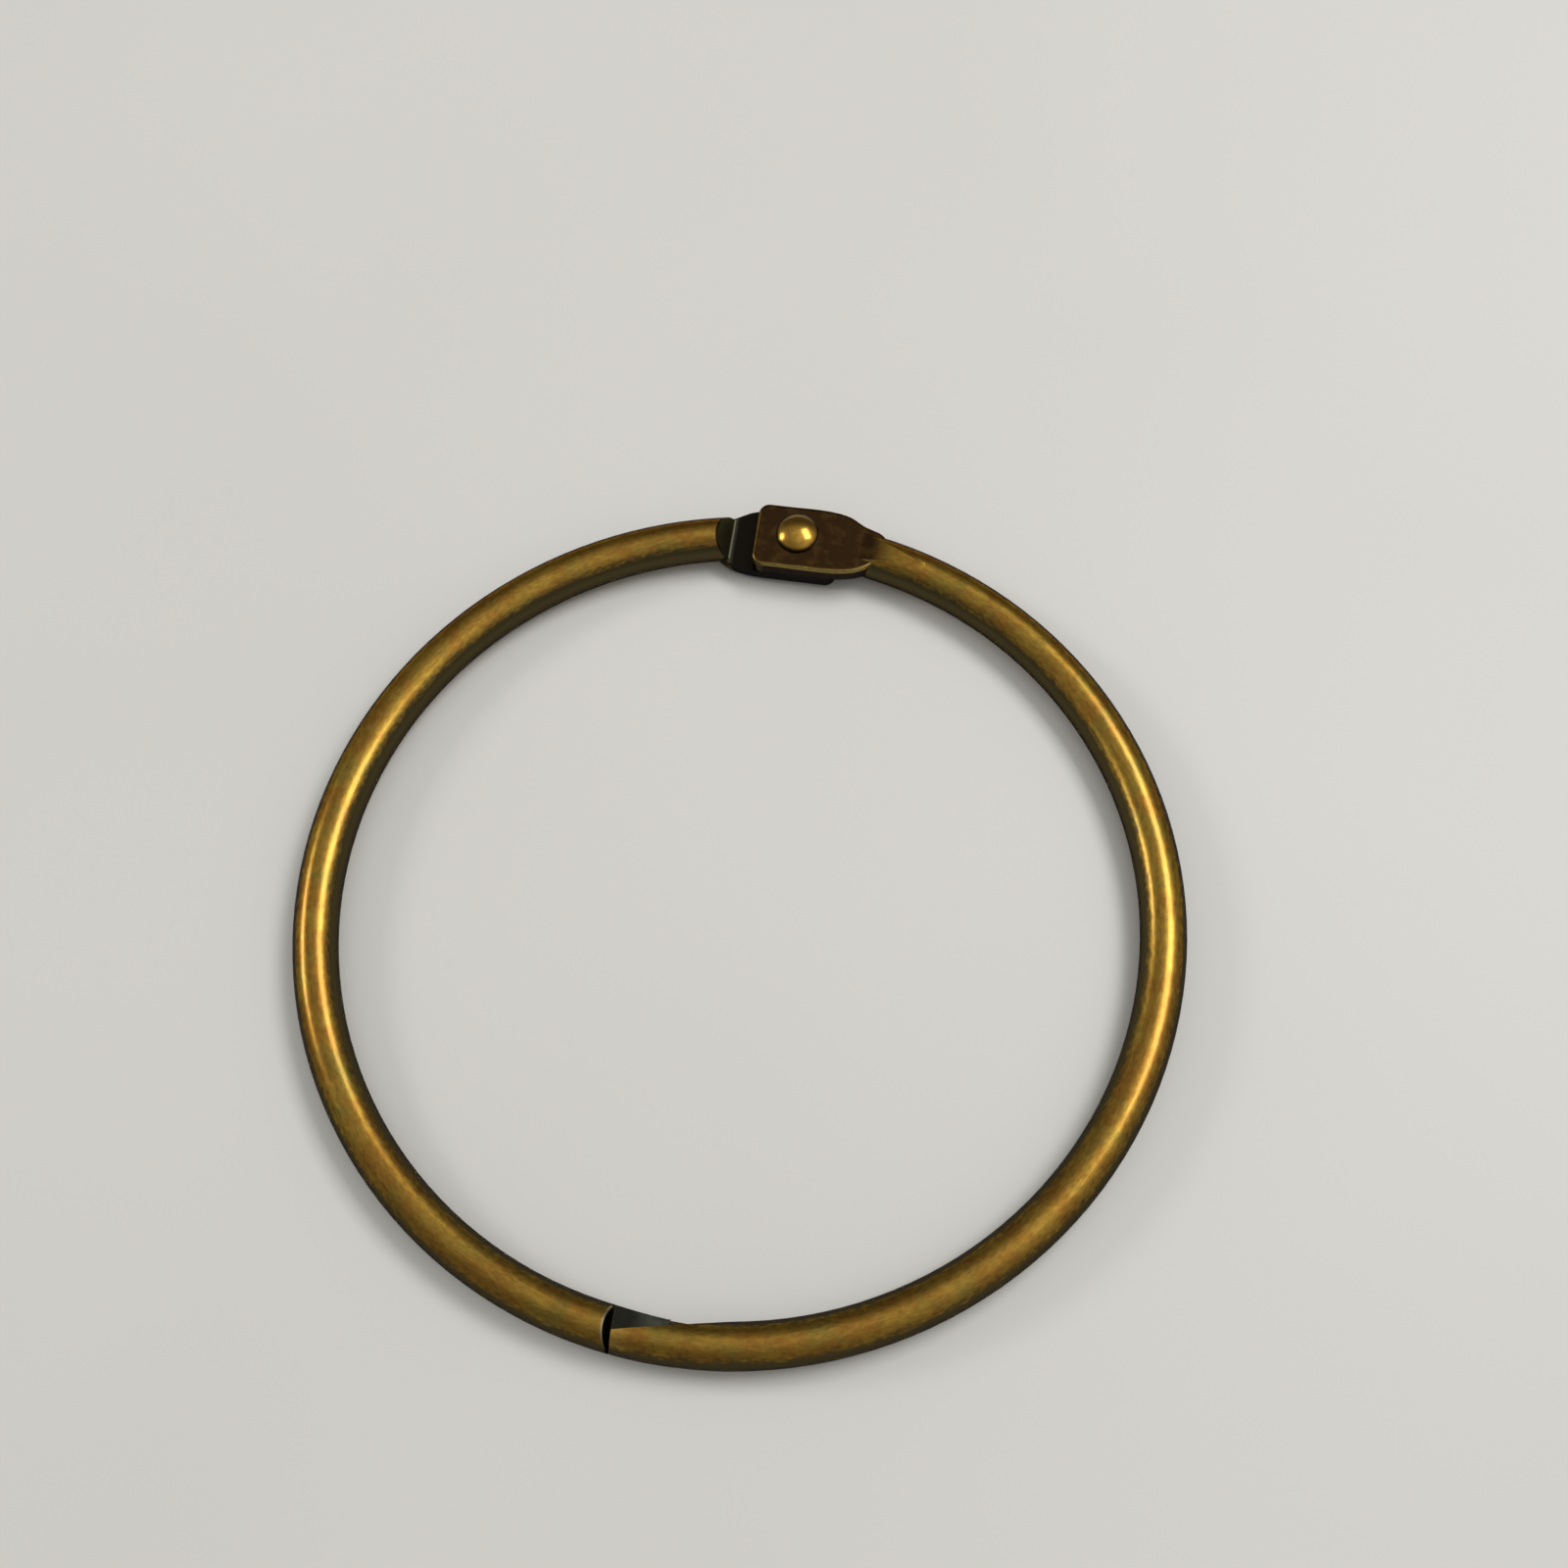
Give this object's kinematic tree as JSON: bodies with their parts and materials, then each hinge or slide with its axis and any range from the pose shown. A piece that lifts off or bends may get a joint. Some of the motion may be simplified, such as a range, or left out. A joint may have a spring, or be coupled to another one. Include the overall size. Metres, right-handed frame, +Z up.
{
  "type": "binder ring",
  "caption": "Hinged ring of round wire for loose sheets, with pressed lap paddles on a domed rivet and a half-lap clasp whose lugs hook into each other, in antique brass.",
  "frame": {"origin": "middle of the closed ring, on the plane that its wire lies on", "axes": "+Z up, square to the ring's plane; +Y towards the hinge rivet; +X towards the tip half"},
  "size_m": [0.078, 0.0789, 0.0044],
  "materials": {
    "antique_brass": "antique brass plate, rubbed bright on top and dark in the recesses",
    "rivet_brass": "polished brass plate"
  },
  "bodies": {
    "hook_half": {"hook_half": "antique_brass", "hinge_rivet": "rivet_brass"},
    "tip_half": {"tip_half": "antique_brass"}
  },
  "joints": [
    {"name": "hinge_swing", "type": "hinge", "parent": "hook_half", "child": "tip_half", "pos_m": [0, 0.037, 0.002], "axis": [0, 0, 1], "range_deg": [0, 150]}
  ]
}
